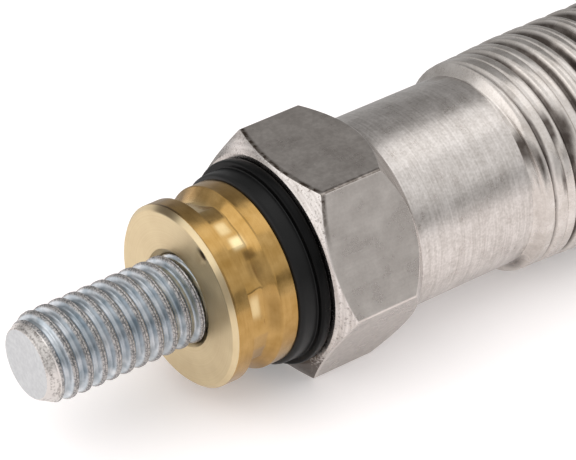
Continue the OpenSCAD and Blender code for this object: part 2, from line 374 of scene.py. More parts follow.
def nickelRolled():
    # nickel-plated steel, rolled thread: bright crests, and grooves that darken to brown with depth: dried
    # oil and painted shade
    material, tree, shader, place = newMaterial("nickel_plated_steel_rolled")
    grain, cloud = mottle(tree, place, nickel, detail=4)
    speckled = addNode(tree, "ShaderNodeMath", {"operation": "MULTIPLY_ADD", 1: 0.4},
                       {0: grain, 2: cloud})
    plating = twoTones(tree, speckled, 0.45, 0.95, nickel["rolled"])
    groove = addNode(tree, "ShaderNodeAttribute", {"attribute_name": "stainAndPaintedLight"})
    # dried oil and painted shade: darker deeper in the grooves
    oilAndShadeMix = addNode(tree, "ShaderNodeMath", {"operation": "MULTIPLY_ADD", 1: 0.7},
                   {0: cloud, 2: groove.outputs["Fac"]})
    stainAndPaintedLight = addNode(tree, "ShaderNodeMapRange", {"From Min": 0.75, "From Max": 1.4, "To Max": 0.9},
                    {"Value": oilAndShadeMix})
    colour = addNode(tree, "ShaderNodeMix", {"data_type": "RGBA", 7: linear(nickel["oilAndShade"])},
                     {0: stainAndPaintedLight, 6: plating.outputs[2]})
    rough = addNode(tree, "ShaderNodeMapRange", {**middling, "To Min": 0.2, "To Max": 0.34},
                    {"Value": cloud})
    bump = addNode(tree, "ShaderNodeBump", {"Strength": 0.5, "Distance": 0.006 * mm},
                   {"Height": speckled})
    wire(tree, shader, colour, rough, bump)
    return material


zinc = {
    "flank": ("#d6dade", "#a2adb5"),
    "crest": ("#b0a8a2", "#4b423d"),
    # painted shade for the roots of the grooves
    "root": "#4d5054",
    "worn": ("#4b423d", "#cfcac6"),
    "end": ("#b7b9bb", "#c8cacb"),
    "grain": 0.085,
    "cloud": 0.6,
    "scuff": 0.16,
    "scuffLength": 1.2,
}


def zincPlated():
    # zinc-plated steel, clear passivated: bluish silver flanks, grey and grainy on the rolled crests, with
    # painted shade darkening the roots
    material, tree, shader, place = newMaterial("zinc_plated_steel_rolled")
    grain, cloud = mottle(tree, place, zinc, detail=4)
    flank = twoTones(tree, cloud, 0.35, 0.65, zinc["flank"])
    groove = addNode(tree, "ShaderNodeAttribute", {"attribute_name": "stainAndPaintedLight"})
    # painted shade: the roots of the grooves mixed towards dark grey
    rootShade = addNode(tree, "ShaderNodeMapRange", {"From Min": 0.55, "From Max": 1, "To Max": 0.35},
                   {"Value": groove.outputs["Fac"]})
    shaded = addNode(tree, "ShaderNodeMix", {"data_type": "RGBA", 7: linear(zinc["root"])},
                     {0: rootShade, 6: flank.outputs[2]})
    crest = twoTones(tree, grain, 0.42, 0.58, zinc["crest"])
    height = addNode(tree, "ShaderNodeMapRange", {"From Min": 0.4, "From Max": 0.15},
                     {"Value": groove.outputs["Fac"]})
    worn = addNode(tree, "ShaderNodeMath", {"operation": "MULTIPLY", 1: 0.75}, {0: height})
    colour = addNode(tree, "ShaderNodeMix", {"data_type": "RGBA"},
                     {0: worn, 6: shaded.outputs[2], 7: crest.outputs[2]})
    rough = addNode(tree, "ShaderNodeMapRange", {"To Min": 0.28, "To Max": 0.42}, {"Value": height})
    bump = addNode(tree, "ShaderNodeBump", {"Distance": 0.014 * mm}, {"Height": grain, "Strength": worn})
    wire(tree, shader, colour, rough, bump)
    return material


def zincWorn():
    # zinc-plated steel, worn on the rolled end: rough grey-brown grains where nuts were started
    material, tree, shader, place = newMaterial("zinc_plated_steel_worn")
    grain = addNode(tree, "ShaderNodeTexNoise", {"Scale": 1 / (zinc["grain"] * mm), "Detail": 3},
                    {"Vector": place})
    rings = addNode(tree, "ShaderNodeMapping", {"Scale": spread(zinc["scuff"], zinc["scuffLength"])},
                    {"Vector": place})
    scuffs = addNode(tree, "ShaderNodeTexNoise", {"Scale": 1, "Detail": 3}, {"Vector": rings})
    mixed = addNode(tree, "ShaderNodeMath", {"operation": "MULTIPLY_ADD", 1: 0.7}, {0: grain, 2: scuffs})
    colour = twoTones(tree, mixed, 0.55, 0.9, zinc["worn"])
    rough = addNode(tree, "ShaderNodeMapRange",
                    {"From Min": 0.55, "From Max": 0.9, "To Min": 0.5, "To Max": 0.3},
                    {"Value": mixed})
    bump = addNode(tree, "ShaderNodeBump", {"Strength": 0.8, "Distance": 0.012 * mm}, {"Height": mixed})
    wire(tree, shader, colour, rough, bump)
    return material


def zincFace():
    # zinc-plated steel, sheared end: pale matt face with a soft even grain
    material, tree, shader, place = newMaterial("zinc_plated_steel_end")
    grain = addNode(tree, "ShaderNodeTexNoise", {"Scale": 1 / (2 * zinc["grain"] * mm), "Detail": 4},
                    {"Vector": place})
    colour = twoTones(tree, grain, 0.3, 0.7, zinc["end"])
    rough = addNode(tree, "ShaderNodeMapRange", {"To Min": 0.34, "To Max": 0.46}, {"Value": grain})
    bump = addNode(tree, "ShaderNodeBump", {"Strength": 0.3, "Distance": 0.004 * mm}, {"Height": grain})
    wire(tree, shader, colour, rough, bump)
    return material


brass = {
    "turned": ("#9a7740", "#bb9860"),
    "faced": ("#cbb792", "#d8c7a3"),
    # brown of dirt and of painted shade
    "dirtAndPaintedLight": "#3f2c17",
    # pale gold of the painted highlight on the jaws' flats
    "paintedHighlight": "#e6d2a4",
    "latheLine": 0.07,      # feed marks of about 0.03 mm, drawn coarser so that they show
    "latheLength": 1.8,
    "cloud": 0.9,
    "dent": 0.8,
}


def brassFaced():
    # leaded brass, faced on the lathe: pale matt gold with fine circles round the bore
    material, tree, shader, place = newMaterial("brass_faced")
    apart = addNode(tree, "ShaderNodeSeparateXYZ", {}, {"Vector": place})
    across = addNode(tree, "ShaderNodeCombineXYZ", {}, {"Y": apart.outputs["Y"], "Z": apart.outputs["Z"]})
    radius = addNode(tree, "ShaderNodeVectorMath", {"operation": "LENGTH"}, {0: across})
    steps = addNode(tree, "ShaderNodeMath", {"operation": "MULTIPLY", 1: 1 / (brass["latheLine"] * mm)},
                    {0: radius.outputs["Value"]})
    circles = addNode(tree, "ShaderNodeTexNoise", {"noise_dimensions": "1D", "Scale": 1, "Detail": 3},
                      {"W": steps})
    cloud = addNode(tree, "ShaderNodeTexNoise", {"Scale": 1 / (brass["cloud"] * mm), "Detail": 5},
                    {"Vector": place})
    mixed = addNode(tree, "ShaderNodeMath", {"operation": "MULTIPLY_ADD", 1: 0.4}, {0: circles, 2: cloud})
    clean = twoTones(tree, mixed, 0.45, 0.95, brass["faced"])
    dirtAndPaintedLight = addNode(tree, "ShaderNodeAttribute", {"attribute_name": "stainAndPaintedLight"})
    # dirt and painted shade in the nick, and darker places on the front edge
    colour = addNode(tree, "ShaderNodeMix", {"data_type": "RGBA", 7: linear(brass["dirtAndPaintedLight"])},
                     {0: dirtAndPaintedLight.outputs["Fac"], 6: clean.outputs[2]})
    rough = addNode(tree, "ShaderNodeMapRange", {**middling, "To Min": 0.4, "To Max": 0.5},
                    {"Value": cloud})
    bump = addNode(tree, "ShaderNodeBump", {"Strength": 0.4, "Distance": 0.003 * mm}, {"Height": circles})
    wire(tree, shader, colour, rough, bump)
    return material


def brassTurned():
    # leaded brass, turned and crimped: yellow gold, a little uneven, so that its sharp reflections break
    # up; a pale painted highlight on the jaws' flats
    material, tree, shader, place = newMaterial("brass_turned")
    rings = addNode(tree, "ShaderNodeMapping", {"Scale": spread(brass["latheLine"], brass["latheLength"])},
                    {"Vector": place})
    lines = addNode(tree, "ShaderNodeTexNoise", {"Scale": 1, "Detail": 3}, {"Vector": rings})
    cloud = addNode(tree, "ShaderNodeTexNoise", {"Scale": 1 / (brass["cloud"] * mm), "Detail": 5},
                    {"Vector": place})
    streaked = addNode(tree, "ShaderNodeMath", {"operation": "MULTIPLY_ADD", 1: 0.25},
                       {0: lines, 2: cloud})
    clean = twoTones(tree, streaked, 0.4, 0.85, brass["turned"])
    dirtAndPaintedLight = addNode(tree, "ShaderNodeAttribute", {"attribute_name": "stainAndPaintedLight"})
    # painted highlight: flats marked below 0 lifted to pale gold
    highlightMask = addNode(tree, "ShaderNodeMapRange", {"From Max": -1}, {"Value": dirtAndPaintedLight.outputs["Fac"]})
    paintedHighlight = addNode(tree, "ShaderNodeMix", {"data_type": "RGBA", 7: linear(brass["paintedHighlight"])},
                        {0: highlightMask, 6: clean.outputs[2]})
    # dirt and painted shade: marks above 0 darkened to brown
    colour = addNode(tree, "ShaderNodeMix", {"data_type": "RGBA", 7: linear(brass["dirtAndPaintedLight"])},
                     {0: dirtAndPaintedLight.outputs["Fac"], 6: paintedHighlight.outputs[2]})
    rough = addNode(tree, "ShaderNodeMapRange", {**middling, "To Min": 0.14, "To Max": 0.28},
                    {"Value": cloud})
    dents = addNode(tree, "ShaderNodeTexNoise", {"Scale": 1 / (brass["dent"] * mm), "Detail": 1},
                    {"Vector": place})
    relief = addNode(tree, "ShaderNodeMath", {"operation": "MULTIPLY_ADD", 1: 0.06}, {0: lines, 2: dents})
    bump = addNode(tree, "ShaderNodeBump", {"Strength": 0.6, "Distance": 0.03 * mm}, {"Height": relief})
    wire(tree, shader, colour, rough, bump)
    return material


def plainSurface(name, colours, grain, roughness, relief, stretch=1, metallic=0):
    # two near tones in a grain of the given size, with a little relief
    material, tree, shader, place = newMaterial(name)
    pulled = addNode(tree, "ShaderNodeMapping", {"Scale": spread(grain * stretch, grain)},
                     {"Vector": place})
    noise = addNode(tree, "ShaderNodeTexNoise", {"Scale": 1, "Detail": 4}, {"Vector": pulled})
    colour = twoTones(tree, noise, 0.3, 0.7, colours)
    either = 0.08  # some of the grain is this much smoother, some this much rougher
    rough = addNode(tree, "ShaderNodeMapRange",
                    {"To Min": roughness - either, "To Max": roughness + either},
                    {"Value": noise})
    bump = addNode(tree, "ShaderNodeBump", {"Strength": 0.5, "Distance": relief * mm}, {"Height": noise})
    wire(tree, shader, colour, rough, bump, metallic)
    return material


# housing: hexagon, shank, M10x1.25 body thread, pilot and conical seat in one piece

housing = {
    "acrossFlats": 9.8,
    "hexLength": 4.6,
    "cornerRound": 0.15,    # the six long edges
    "edgeRound": 0.09,      # where the flats meet the turned chamfers
    "frontR": 4.75,
    "frontAngle": 30,
    "rearR": 4.8,
    "rearAngle": 50,
    "shankR": 4.4,
    "shankLength": 6.4,
    "fillet": 0.3,
    "pilotR": 4.1,
    "pilotLength": 5,
    "noseR": 2.9,
    "counterboreR": 3.3,
    "boreR": 2.7,
    "sheathBoreR": 2.52,
    "frontRound": 0.03,
    "rearRound": 0.04,
    "noseRound": 0.1,
    "hexRow": 0.5,          # rows that only keep the shading even
    "shankRow": 1,
    "pilotRow": 0.4,
}
# dirt and painted shade on the hexagon, its places in degrees up from -Y
hexDirtAndShade = {
    "edgeLine": 0.13,       # how wide it lies along the front edges of the flats
    "top": (60.5, 119.5),
    "topFilmAndShade": 0.3,         # thin brown film, and painted shade: the top flat darker and browner
    "low": (-59.5, -0.5),
    # painted shade: the low flats darker and browner
    "lowFilmAndShade": 0.35,
    "corner": (59.7, 61.2),
    "cornerDark": 0.8,
    "sideEdge": (32, 58),   # grows from nothing to full between these
    "chamfer": 0.22,
    "under": -75,           # middle of a darker place low on the chamfer: brown stain and painted shade
    "underStainAndShade": 0.6,
    "underReach": (0.9, 0.3),   # radians from its middle, where it starts and where it is full
}
bodyThread = {
    "length": 20,
    "pitch": 1.25,
    "crestR": 5,
    "depth": 0.75,
    "firstCrest": -0.19,    # where the first crest starts, in turns
    "shoulder": 0.5,        # the shank steps up to the first crest in this length
    "shoulderRise": 0.75,   # by this share, and the rest comes slowly
    "crestReach": (0.2, 4.5),   # between these distances
    "depthFrom": 9,         # the rolled grooves are full from here
    "depthGrowth": 0.7,     # below 1 they deepen quickly at first
    "soft": 0.2,
    "rootHalf": 0.03,
    "seamDepth": 0.05,
    "seamHalf": 0.05,
    "oilAndShadeDepth": 0.17,       # the grooves are fully dark from this depth on: dried oil and painted shade
    "lead": 0.7,
}
# dark places where the thread starts, partly dried oil and partly painted shade: how far along, degrees up
# from -Y, spread along and round
oilAndShadeSpots = [
    {"along": 0.1, "turn": 44, "wide": 0.24, "round": 10, "dark": 1.5},
    {"along": 0.5, "turn": 33, "wide": 0.16, "round": 12, "dark": 1.1},
    {"along": 0.85, "turn": 45, "wide": 0.16, "round": 13, "dark": 0.9},
    {"along": 1.58, "turn": 48, "wide": 0.2, "round": 11, "dark": 1.2},
    {"along": 1.45, "turn": 19, "wide": 0.16, "round": 9, "dark": 1},
    {"along": 2.4, "turn": 45, "wide": 0.24, "round": 13, "dark": 1},
    {"along": 0.05, "turn": 98, "wide": 0.1, "round": 8, "dark": 0.6},
    {"along": 0.1, "turn": -42, "wide": 0.3, "round": 16, "dark": 0.9},
]


def hexagonAngles():
    # columns crowd at the corners, to round them
    half = [0, 0.26, 0.51, 0.77, 1.1, 1.8, 3, 5, 8, 12, 16, 20, 25, 30]
    sector = half + [60 - a for a in reversed(half[1:-1])]
    return [math.radians(60 * k + a) for k in range(6) for a in sector] + [2 * math.pi]


def hexagonRadius(angle):
    flat = housing["acrossFlats"] / 2
    rounding = housing["cornerRound"]
    half = math.radians(30)  # from a corner to the middle of a flat
    fromCorner = half - abs(half - angle % (2 * half))
    centre = (flat - rounding) / math.cos(half)
    roundUntil = half - math.atan(centre * math.sin(half) / flat)
    if fromCorner < roundUntil:
        aside = centre * math.sin(fromCorner)
        return centre * math.cos(fromCorner) + math.sqrt(rounding ** 2 - aside ** 2)
    return flat / math.cos(half - fromCorner)


def buildHousing():
    p, t, d = housing, bodyThread, hexDirtAndShade
    rearX = hexX + p["hexLength"]
    shankX = rearX + p["shankLength"]
    threadX = shankX + t["length"]
    pilotX = threadX + p["pilotLength"]
    angles = hexagonAngles()
    columns = []
    for a in angles:
        h = hexagonRadius(a)
        frontEdge = hexX + (h - p["frontR"]) * math.tan(math.radians(p["frontAngle"]))
        rearEdge = rearX - (h - p["rearR"]) * math.tan(math.radians(p["rearAngle"]))
        middle = [(frontEdge + d["edgeLine"], h, 0), (frontEdge + 2 * d["edgeLine"], h, 0),
                  ((frontEdge + rearEdge) / 2, h, 0), (rearEdge - p["hexRow"], h, 0)]
        columns.append(roundCorners([
            (hexX, p["counterboreR"], 0), (hexX, p["frontR"], p["frontRound"]),
            (frontEdge, h, p["edgeRound"]), *middle, (rearEdge, h, p["edgeRound"]),
            (rearX, p["rearR"], p["rearRound"]), (rearX, p["shankR"], p["fillet"]),
            (rearX + p["shankRow"], p["shankR"], 0), (shankX - 2 * p["shankRow"], p["shankR"], 0),
            (shankX, p["shankR"], 0)]))
    rows = [list(row) for row in zip(*columns)]
    cornerRows = 6  # a rounded corner makes this many rows
    flatFrom = 1 + cornerRows + cornerRows // 2
    flatTo = flatFrom + len(middle) + cornerRows
    shankFrom = flatTo + cornerRows

    # dirt on the chamfer and the edges, painted shade on the top and low flats and low on the chamfer
    def hexagonDirtAndShade(j, a):
        turn = 180 - math.degrees(a)
        onTop = d["top"][0] < turn < d["top"][1]
        onLow = d["low"][0] < turn < d["low"][1]
        if j < flatFrom:
            away = angleBetween(a, fromTurn(d["under"]))
            return d["chamfer"] + d["underStainAndShade"] * smoothStep(away, *d["underReach"])
        if d["corner"][0] < turn < d["corner"][1]:
            return d["cornerDark"]
        if j < flatFrom + len(middle):
            return 1 if onTop else smoothStep(turn, *d["sideEdge"]) * (turn < 60)
        return d["topFilmAndShade"] if onTop else d["lowFilmAndShade"] if onLow else 0

    for j in range(flatTo):
        rows[j] = [(x, r, hexagonDirtAndShade(j, a)) for (x, r), a in zip(rows[j], angles)]

    def threadPoint(x, phase):
        along = x - shankX
        ahead = threadX - x
        rise = t["shoulderRise"] * smoothStep(along, 0, t["shoulder"])
        rise += (1 - t["shoulderRise"]) * smoothStep(along, *t["crestReach"])
        crest = p["shankR"] + (t["crestR"] - p["shankR"]) * rise
        crest = min(crest, p["pilotR"] + (t["crestR"] - p["pilotR"]) * ahead / t["lead"])
        depth = t["depth"] * min(along / t["depthFrom"], 1) ** t["depthGrowth"]
        root = max(crest - depth, min(crest, p["pilotR"]))
        r = threadRadius(phase, t["pitch"], crest, root, t)
        # darker deeper in the groove: dried oil and painted shade
        return x, r, min((crest - r) / t["oilAndShadeDepth"], 1)

    # darkens the thread's start: dried oil and painted shade
    def oiledAndShaded(x, r, dirtAndPaintedLight, a):
        for oilAndShade in oilAndShadeSpots:
            along = (x - shankX - oilAndShade["along"]) / oilAndShade["wide"]
            across = angleBetween(a, fromTurn(oilAndShade["turn"])) / math.radians(oilAndShade["round"])
            dirtAndPaintedLight += oilAndShade["dark"] * math.exp(-along * along - across * across)
        return x, r, min(dirtAndPaintedLight, 1)

    threadFrom = len(rows)
    for row in helixRows(shankX, threadX, t["pitch"], t["firstCrest"], angles, threadPoint):
        rows.append([oiledAndShaded(*point, a) for point, a in zip(row, angles)])
    threadTo = len(rows)
    rows += roundRows([
        (threadX + p["pilotRow"], p["pilotR"], 0), (pilotX - p["pilotRow"], p["pilotR"], 0),
        (pilotX, p["pilotR"], p["noseRound"]), (noseX, p["noseR"], p["noseRound"]),
        (noseX, p["sheathBoreR"], 0), (sheathX, p["sheathBoreR"], 0), (sheathX, p["boreR"], 0),
        (counterboreX, p["boreR"], 0), (counterboreX, p["counterboreR"], 0)], angles)
    turned, satin, tumbled, rolled = nickelTurned(), nickelSatin(), nickelShank(), nickelRolled()
    finishes = [(turned, 0), (satin, flatFrom), (turned, flatTo), (tumbled, shankFrom),
                (rolled, threadFrom), (turned, threadTo)]
    return turnedPiece("plug_housing", rows, angles, finishes)


# centre electrode: the M4x0.7 terminal with its rod, down to the coils

electrode = {
    "endR": 1.55,
    "endRound": 0.08,
    "endSlope": 0.55,       # the rolled end grows this much for each millimetre along
    "endSoft": 0.12,        # rounding where it reaches the full crest
    "faceRows": [0.8, 1.43],    # radii of the rows on the end face
    "threadBack": 0.12,     # the thread starts this far behind the end
    "gripR": 1.77,
    "rodR": 1.75,
    "rodEndBack": 0.3,      # the thick part of the rod ends this far behind the heater tube
    "tipR": 1.055,          # the control coil is wound onto this
    "rodRound": 0.1,
    "columns": 128,
}
studThread = {
    "pitch": 0.7,
    "crestR": 2,
    "rootR": 1.72,
    "firstCrest": 0,
    "soft": 0.07,
    "rootHalf": 0.1,
    "seamDepth": 0.035,
    "seamHalf": 0.03,
    "wornTurns": 0.15,
    "sinkR": 2.2,           # mouth of the nut's countersink
    "gap": 0.05,
    "runOut": 0.1,          # the grooves run out from so far inside the nut
}


def buildElectrode():
    p, t = electrode, studThread
    angles = evenAngles(p["columns"])
    start = studX + p["threadBack"]
    end = nutX + t["sinkR"] - t["gap"] - p["gripR"]

    def threadPoint(x, phase):
        crest = softMin(t["crestR"], p["endR"] + (x - studX) * p["endSlope"], p["endSoft"])
        if x > nutX:
            crest = min(crest, t["sinkR"] - t["gap"] - (x - nutX))
        runOut = smoothStep(x, nutX + t["runOut"], end)
        root = min(crest, t["rootR"] + (p["gripR"] - t["rootR"]) * runOut)
        r = threadRadius(phase, t["pitch"], crest, root, t)
        # depth in the groove: grain on the crests, painted shade in the roots
        return x, r, min((crest - r) / (t["crestR"] - t["rootR"]), 1)

    face = [(studX, r, 0) for r in [0] + p["faceRows"]]
    rows = roundRows([
        *face, (studX, p["endR"], p["endRound"]), (start, threadPoint(start, 0.5)[1], 0)], angles)
    faceTo = len(face) + 1
    wornTo = len(rows) - 1 + round((1 + t["wornTurns"]) * len(threadPhases))
    rows += helixRows(start, end, t["pitch"], t["firstCrest"], angles, threadPoint)
    shoulder = sheathX - p["rodEndBack"]
    rows += roundRows([
        (nutRearX, p["gripR"], 0), (nutRearX, p["rodR"], 0), (shoulder, p["rodR"], p["rodRound"]),
        (shoulder, p["tipR"], 0), (rodTipX, p["tipR"], p["rodRound"]), (rodTipX, 0, 0)], angles)
    finishes = [(zincFace(), 0), (zincWorn(), faceTo), (zincPlated(), wornTo)]
    return turnedPiece("terminal_electrode", rows, angles, finishes, closed=False)


# round nut: brass, turned with a waist that four jaws have crimped onto the terminal

nut = {
    "radius": 4.1,
    "edge": 0.2,
    "sinkR": 2.2,
    "boreR": 1.79,
    "waistDepth": 0.4,
    "waistFromFace": 0.95,
    "waistLean": 0.1,
    "flankAngle": 45,
    "band": 0.82,           # plain part behind the waist
    "flatDepth": 0.18,
    "ridgeDepth": 0.03,
    "flatReach": 1,         # radians to each side
    "flatSoft": 0.02,
    "soft": 0.03,           # rounding of the waist's edges
    "sinkRound": 0.04,
    "faceRound": 0.05,
    "rimRound": 0.06,
    "roundSteps": 3,
    "faceRows": [2.8, 3.5, 3.56, 3.61, 3.66, 3.71, 3.76, 3.81],  # radii, closest at the nick
    "rimRow": 0.27,         # last row of the front edge, behind the face
    "waistRow": 0.3,        # first row of the waist
    "step": 0.03,           # from row to row, and closer at the waist's front wall
    "wallStep": 0.012,
    "wallReach": (0.04, 0.08),  # in front of it and behind it
    "waistEnd": 0.08,       # its last row is at least this far before the rear face
    "rearRow": 0.06,
    "columns": 512,
}
# pairs of flats pressed by the jaws, and the small pairs left on the ridges between them:
# middle in degrees up from the -Y side, and degrees between the two flats
jaws = [(28, 28), (118, 10), (208, 28), (298, 28)]
ridges = [(68, 12), (163, 12), (253, 12), (343, 12)]
# metal thrown up where the jaws met: behind the face, degrees up from -Y, spread along and round, height
burrs = [
    {"behind": 1.75, "turn": 30, "along": 0.3, "round": 1.5, "height": 0.04},
    {"behind": 1.75, "turn": 5, "along": 0.16, "round": 4, "height": 0.04},
]
# a dent in the front face, near its edge, darkened inside: dirt and painted shade
rimNick = {"turn": 63, "radius": 3.67, "size": 0.17, "length": 0.3, "depth": 0.06}
# darker places on the front edge: middle in degrees up from -Y, degrees to each side, how dark
rimDarkPlaces = [(37, 13, 0.5), (104, 13, 0.75)]
rimBand = 0.03  # they start this far inside the edge
# marks in the waist: dirt and painted shade where dark is above 0, a painted highlight on the jaws' flats
# where it is below
jawMarks = [
    {"behind": 1.72, "turn": 62, "along": 0.3, "round": 4.5, "dark": -0.9},
    {"behind": 1.55, "turn": 75, "along": 0.26, "round": 5, "dark": -0.55},
    {"behind": 1.5, "turn": 17, "along": 0.22, "round": 8, "dark": -0.6},
    {"behind": 1.5, "turn": 112, "along": 0.45, "round": 18, "dark": -0.6},
    {"behind": 1.95, "turn": 52, "along": 0.22, "round": 3.5, "dark": 0.65},
    {"behind": 1.9, "turn": 42, "along": 0.26, "round": 6, "dark": 0.3},
    {"behind": 2.2, "turn": 10, "along": 0.22, "round": 13, "dark": 0.3},
]


def buildNut():
    p = nut
    angles = evenAngles(p["columns"])
    waistR = p["radius"] - p["waistDepth"]
    waistX = nutX + p["waistFromFace"]
    bandX = nutRearX - p["band"]
    sink = p["sinkR"] - p["boreR"]
    flats = []
    for pairs, depth in ((jaws, p["flatDepth"]), (ridges, p["ridgeDepth"])):
        for middle, fold in pairs:
            flats += [(fromTurn(middle + side * fold), waistR - depth) for side in (-0.5, 0.5)]

    def waistFloor(a):
        floor = waistR
        for middle, distance in flats:
            away = angleBetween(a, middle)
            if away < p["flatReach"]:
                floor = softMin(floor, distance / math.cos(away), p["flatSoft"])
        return floor

    floors = [waistFloor(a) for a in angles]

    def rimRadius(x, a, floor):
        for burr in burrs:
            along = (x - nutX - burr["behind"]) / burr["along"]
            across = angleBetween(a, fromTurn(burr["turn"])) / math.radians(burr["round"])
            floor += burr["height"] * math.exp(-along * along - across * across)
        wall = p["radius"] - (x - waistX) * p["waistDepth"] / p["waistLean"]
        flank = p["radius"] + (x - bandX) * math.tan(math.radians(p["flankAngle"]))
        waist = softMax(softMax(floor, wall, p["soft"]), flank, p["soft"])
        return softMin(p["radius"], waist, p["soft"])

    def nicked(x, r, a):
        across = rimNick["radius"] * angleBetween(a, fromTurn(rimNick["turn"])) / rimNick["length"]
        dent = math.exp(-math.hypot((r - rimNick["radius"]) / rimNick["size"], across) ** 4)
        # dirt and painted shade inside the dent
        dirtAndPaintedLight = dent
        if r > p["radius"] - p["edge"] - rimBand:
            for turn, reachAngle, dark in rimDarkPlaces:
                away = angleBetween(a, fromTurn(turn)) / math.radians(reachAngle)
                dirtAndPaintedLight += dark * math.exp(-away ** 4)
        return x + rimNick["depth"] * dent, r, dirtAndPaintedLight

    def marked(x, r, a):
        dirtAndPaintedLight = 0
        for mark in jawMarks:
            along = (x - nutX - mark["behind"]) / mark["along"]
            across = angleBetween(a, fromTurn(mark["turn"])) / math.radians(mark["round"])
            dirtAndPaintedLight += mark["dark"] * math.exp(-along ** 4 - across ** 4)
        return x, r, dirtAndPaintedLight

    face = [(nutX, r, 0) for r in p["faceRows"]]
    rows = roundRows([
        (nutX + sink, p["boreR"], 0), (nutX, p["sinkR"], p["sinkRound"]), *face,
        (nutX, p["radius"] - p["edge"], p["faceRound"]), (nutX + p["edge"], p["radius"], p["rimRound"]),
        (nutX + p["rimRow"], p["radius"], 0)], angles, p["roundSteps"])
    cornerRows = p["roundSteps"] + 1
    faceTo = 1 + cornerRows + len(face) + cornerRows + 1
    rows = [[nicked(x, r, a) for (x, r), a in zip(row, angles)] for row in rows]
    x = nutX + p["waistRow"]
    wallFrom = waistX - p["wallReach"][0]
    wallTo = waistX + p["waistLean"] + p["wallReach"][1]
    while x < nutRearX - p["waistEnd"]:
        rows.append([marked(x, rimRadius(x, a, floor), a) for a, floor in zip(angles, floors)])
        x += p["wallStep"] if wallFrom < x < wallTo else p["step"]
    rows += roundRows([
        (nutRearX - p["rearRow"], p["radius"], 0), (nutRearX, p["radius"], p["faceRound"]),
        (nutRearX, p["sinkR"], p["sinkRound"]), (nutRearX - sink, p["boreR"], 0)], angles, p["roundSteps"])
    return turnedPiece("crimped_nut", rows, angles, [(brassFaced(), 0), (brassTurned(), faceTo)])


# insulating bush: step and flange in front of the hexagon, sleeve inside it

bush = {
    "stepR": 4.3,
    "stepLength": 0.85,
    "flangeR": 4.6,
    "rounding": 0.25,
    "sleeveR": 3.25,
    "boreR": 1.8,
    "frontRow": 3.6,        # radius of a row on the front face
    "stepRound": 0.06,      # inner corner at the flange
    "sleeveRound": 0.1,
    "roundSteps": 7,
    "mouldedShine": 0.22,
    "shadedCopyShine": 0.09,
    "columns": 160,
}


def buildBush():
    p = bush
    angles = evenAngles(p["columns"])
    stepX = nutRearX + p["stepLength"]
    rows = roundRows([
        (nutRearX, p["boreR"], 0), (nutRearX, p["frontRow"], 0), (nutRearX, p["stepR"], p["rounding"]),
        (stepX, p["stepR"], p["stepRound"]), (stepX, p["flangeR"], p["rounding"]),
        (hexX, p["flangeR"], p["rounding"]), (hexX, p["sleeveR"], 0),
        (sleeveEndX, p["sleeveR"], p["sleeveRound"]), (sleeveEndX, p["boreR"], 0)], angles, p["roundSteps"])
    # phenolic, compression moulded: near black, satin, with a faint cloudy flow
    moulded = plainSurface("black_phenolic_moulded", ("#060606", "#0b0b0b"),
                           grain=0.5, roughness=0.38, relief=0.008)
    # the same phenolic as a deeper black, duller copy on the flange: painted shade
    shadedCopy = plainSurface("black_phenolic_painted_shade", ("#030303", "#070707"),
                           grain=0.5, roughness=0.3, relief=0.008)
    for material, shine in ((moulded, p["mouldedShine"]), (shadedCopy, p["shadedCopyShine"])):
        material.node_tree.nodes["Principled BSDF"].inputs["Specular IOR Level"].default_value = shine
    cornerRows = p["roundSteps"] + 1
    flangeFrom = 2 + cornerRows + cornerRows // 2  # from the middle of the inner corner
    return turnedPiece("insulator", rows, angles, [(moulded, 0), (shadedCopy, flangeFrom)])


# heater tube: drawn, closed by a half ball at its tip

sheath = {
    "radius": 2.5,
    "wall": 0.5,
    "noseRow": 1,
    "domeSteps": 16,
    "columns": 128,
}


def buildSheath():
    p = sheath
    angles = evenAngles(p["columns"])
    domeX = tipX - p["radius"]
    inner = p["radius"] - p["wall"]

    def dome(r):
        quarter = [math.pi / 2 * k / p["domeSteps"] for k in range(p["domeSteps"] + 1)]
        return [(domeX + r * math.sin(q), r * math.cos(q)) for q in quarter]

    profile = [(sheathX, inner), (sheathX, p["radius"]), (noseX, p["radius"])]
    profile.append((noseX + p["noseRow"], p["radius"]))
    profile += dome(p["radius"]) + list(reversed(dome(inner)))
    rows = [[point] * len(angles) for point in profile]
    # nickel-chromium alloy, drawn: brownish grey with fine lines along the tube
    drawn = plainSurface("heat_resisting_alloy_drawn", ("#9d938a", "#b8afa7"),
                         grain=0.06, roughness=0.3, relief=0.003, stretch=60, metallic=1)
    return turnedPiece("heater_tube", rows, angles, [(drawn, 0)])


seat(buildHousing(), "housing")
seat(buildElectrode(), "centre_electrode")
seat(buildNut(), "round_nut")
seat(buildBush(), "insulating_bush")
seat(buildSheath(), "sheath_tube")

# pieces that stay inside the plug keep their solids
inside = {
    # nitrile rubber, moulded: dull black
    "o_ring": plainSurface("nitrile_rubber_moulded", ("#171514", "#242120"),
                           grain=0.2, roughness=0.6, relief=0.005),
    # silicone rubber, cut from tube: dull dark grey
    "sheath_seal": plainSurface("silicone_rubber_cut", ("#33302e", "#413d3a"),
                                grain=0.2, roughness=0.6, relief=0.005),
    # iron-chromium-aluminium wire, drawn and annealed: grey with a thin oxide
    "heating_coil": plainSurface("resistance_wire_drawn", ("#857b73", "#9f958c"),
                                 grain=0.1, roughness=0.4, relief=0.003, stretch=4, metallic=1),
    # nickel wire, drawn: a little darker and browner
    "control_coil": plainSurface("control_wire_drawn", ("#746e69", "#8d8680"),
                                 grain=0.1, roughness=0.4, relief=0.003, stretch=4, metallic=1),
    # magnesium oxide, packed: off-white and chalky
    "insulating_powder": plainSurface("magnesium_oxide_packed", ("#d9d4ca", "#ebe7e0"),
                                      grain=0.15, roughness=0.85, relief=0.02),
}
